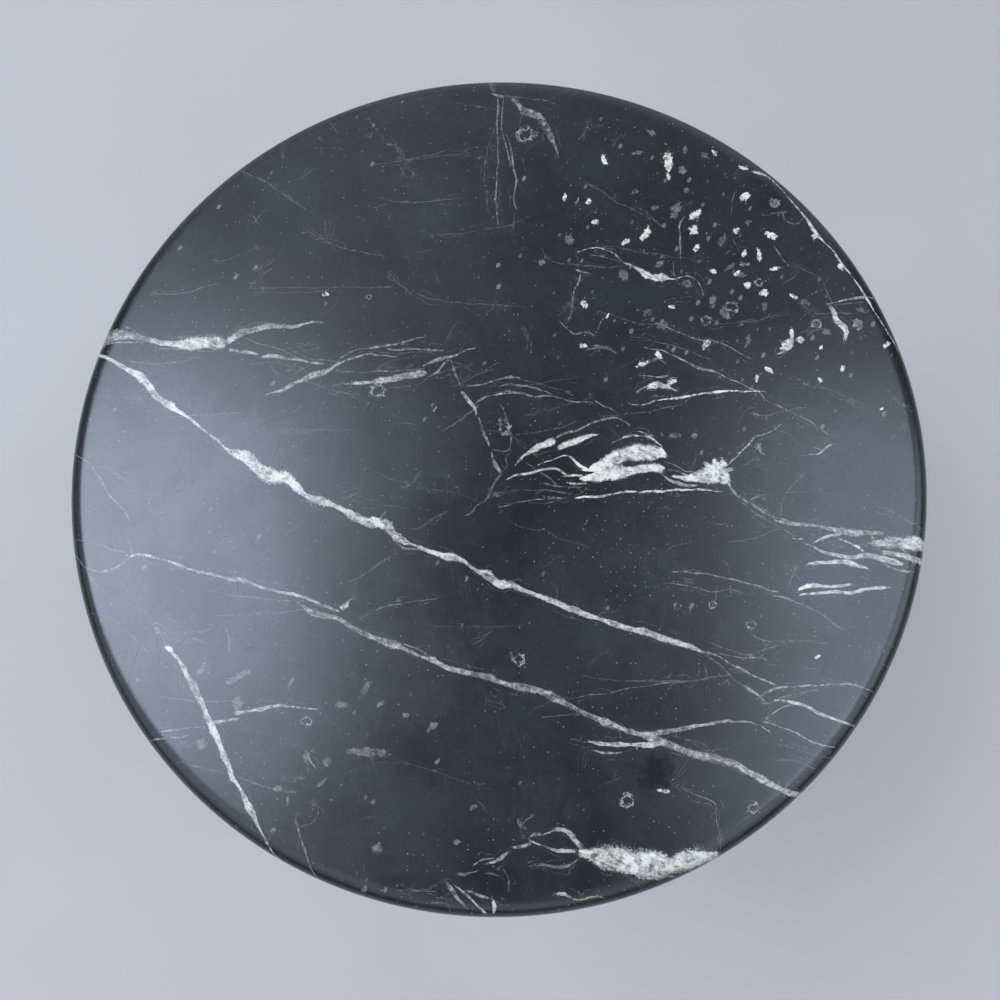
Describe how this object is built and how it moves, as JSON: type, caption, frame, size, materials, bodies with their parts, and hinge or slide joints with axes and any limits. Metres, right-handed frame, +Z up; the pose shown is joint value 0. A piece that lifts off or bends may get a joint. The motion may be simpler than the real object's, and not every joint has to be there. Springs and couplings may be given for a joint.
{
  "type": "round pedestal table",
  "caption": "Small round pedestal table: a black veined stone top with a rounded edge on a flared black metal column and base with screw-adjustable glides.",
  "frame": {"origin": "on the floor, on the axis of the column, with the glides at rest height", "axes": "+Z up along the column's axis, +Y away from the viewer of the picture, +X to the right"},
  "size_m": [0.5099, 0.51, 0.515],
  "materials": {
    "black_marble": "satin",
    "black_powder_coat": "satin",
    "stained_board": "matte",
    "zinc_steel": "satin",
    "bare_steel": "satin",
    "brass": "satin",
    "raw_cast_iron": "matte",
    "black_nylon": "matte"
  },
  "bodies": {
    "pedestal": {"stone_top": "black_marble", "stone_anchors": "brass", "backing_board": "stained_board", "board_screws": "zinc_steel", "board_inserts": "brass", "top_plate": "black_powder_coat", "plate_screws": "zinc_steel", "plate_washers": "zinc_steel", "plate_hub": "black_powder_coat", "neck_washer": "black_nylon", "column": "black_powder_coat", "spigot_ring": "bare_steel", "base_rim": "black_powder_coat", "base_flare": "black_powder_coat", "base_neck": "black_powder_coat", "tie_rod": "zinc_steel", "tie_rod_washer": "zinc_steel", "tie_rod_spring_washer": "zinc_steel", "tie_rod_nut": "zinc_steel", "ballast_ring": "raw_cast_iron", "ballast_bolts": "zinc_steel", "base_cover": "black_powder_coat", "cover_screws": "zinc_steel", "glide_bushes": "brass"},
    "glide_1_foot": {"glide_pad_1": "black_nylon"},
    "glide_1_screw": {"glide_stem_1": "zinc_steel"},
    "glide_2_foot": {"glide_pad_2": "black_nylon"},
    "glide_2_screw": {"glide_stem_2": "zinc_steel"},
    "glide_3_foot": {"glide_pad_3": "black_nylon"},
    "glide_3_screw": {"glide_stem_3": "zinc_steel"},
    "glide_4_foot": {"glide_pad_4": "black_nylon"},
    "glide_4_screw": {"glide_stem_4": "zinc_steel"}
  },
  "joints": [
    {"name": "glide_1_lift", "type": "slide", "parent": "pedestal", "child": "glide_1_foot", "axis": [0, 0, -1], "range_m": [-0.0025, 0.005]},
    {"name": "glide_1_turn", "type": "hinge", "parent": "glide_1_foot", "child": "glide_1_screw", "pos_m": [0.08202, 0.08202, 0.007], "axis": [0, 0, -1], "range_deg": [-722, 1444]},
    {"name": "glide_2_lift", "type": "slide", "parent": "pedestal", "child": "glide_2_foot", "axis": [0, 0, -1], "range_m": [-0.0025, 0.005]},
    {"name": "glide_2_turn", "type": "hinge", "parent": "glide_2_foot", "child": "glide_2_screw", "pos_m": [-0.08202, 0.08202, 0.007], "axis": [0, 0, -1], "range_deg": [-722, 1444]},
    {"name": "glide_3_lift", "type": "slide", "parent": "pedestal", "child": "glide_3_foot", "axis": [0, 0, -1], "range_m": [-0.0025, 0.005]},
    {"name": "glide_3_turn", "type": "hinge", "parent": "glide_3_foot", "child": "glide_3_screw", "pos_m": [-0.08202, -0.08202, 0.007], "axis": [0, 0, -1], "range_deg": [-722, 1444]},
    {"name": "glide_4_lift", "type": "slide", "parent": "pedestal", "child": "glide_4_foot", "axis": [0, 0, -1], "range_m": [-0.0025, 0.005]},
    {"name": "glide_4_turn", "type": "hinge", "parent": "glide_4_foot", "child": "glide_4_screw", "pos_m": [0.08202, -0.08202, 0.007], "axis": [0, 0, -1], "range_deg": [-722, 1444]}
  ],
  "couplings": [
    {"joint": "glide_1_turn", "follows": "glide_1_lift", "rad_per_m": 5026.5},
    {"joint": "glide_2_turn", "follows": "glide_2_lift", "rad_per_m": 5026.5},
    {"joint": "glide_3_turn", "follows": "glide_3_lift", "rad_per_m": 5026.5},
    {"joint": "glide_4_turn", "follows": "glide_4_lift", "rad_per_m": 5026.5}
  ]
}
